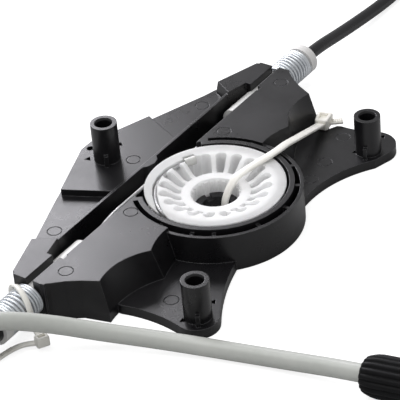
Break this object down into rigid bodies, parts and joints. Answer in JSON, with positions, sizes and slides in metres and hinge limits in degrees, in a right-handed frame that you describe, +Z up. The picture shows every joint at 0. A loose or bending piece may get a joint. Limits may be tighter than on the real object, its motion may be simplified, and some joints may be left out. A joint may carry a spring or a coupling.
{
  "type": "window regulator",
  "caption": "Cable window regulator drum unit: a moulded housing with fixing posts, a pocketed cable drum in its cup, and spring-loaded cable guides with their conduits.",
  "frame": {"origin": "on the drum's axis, at the plane of the housing's feet", "axes": "+X along the cable channel, +Y towards the single post beyond the channel, +Z up out of the cup"},
  "size_m": [0.486, 0.2911, 0.0328],
  "materials": {
    "housing_black": "moulded, fine grain, satin",
    "drum_white": "moulded acetal, smooth",
    "sleeve_white": "moulded, smooth",
    "spring_zinc": "bright zinc plated wire",
    "cable_steel": "stranded galvanised wire",
    "nipple_zinc": "cast zinc, dull",
    "conduit_black": "extruded, satin",
    "conduit_grey": "translucent extruded plastic, finely ribbed",
    "boot_rubber": "fluted black rubber",
    "tie_natural": "natural nylon"
  },
  "bodies": {
    "housing_body": {"housing": "housing_black", "cable_run_left": "cable_steel", "cable_run_right": "cable_steel", "tension_spring_left": "spring_zinc", "tension_spring_right": "spring_zinc", "transport_tie": "tie_natural", "spring_tie": "tie_natural"},
    "drum_body": {"cable_drum": "drum_white", "cable_nipple_upper": "nipple_zinc", "cable_nipple_lower": "nipple_zinc", "cable_winding_upper": "cable_steel", "cable_winding_lower": "cable_steel"},
    "sleeve_left_body": {"guide_sleeve_left": "sleeve_white", "conduit_ferrule_left": "conduit_black", "conduit_left": "conduit_grey", "rubber_boot": "boot_rubber", "cable_end_left": "cable_steel"},
    "sleeve_right_body": {"guide_sleeve_right": "sleeve_white", "conduit_right": "conduit_black", "conduit_stop_right": "cable_steel", "cable_end_right": "cable_steel"}
  },
  "joints": [
    {"name": "drum_spin", "type": "hinge", "parent": "housing_body", "child": "drum_body", "pos_m": [0, 0, 0], "axis": [0, 0, 1], "range_deg": [-900, 180]},
    {"name": "sleeve_left_slide", "type": "slide", "parent": "housing_body", "child": "sleeve_left_body", "axis": [1, 0, 0], "range_m": [0, 0.0025], "stiffness_N_per_m": 2000, "springref_m": -0.004, "deforming": ["tension_spring_left"]},
    {"name": "sleeve_right_slide", "type": "slide", "parent": "housing_body", "child": "sleeve_right_body", "axis": [-1, 0, 0], "range_m": [0, 0.0025], "stiffness_N_per_m": 2000, "springref_m": -0.004, "deforming": ["tension_spring_right"]}
  ]
}
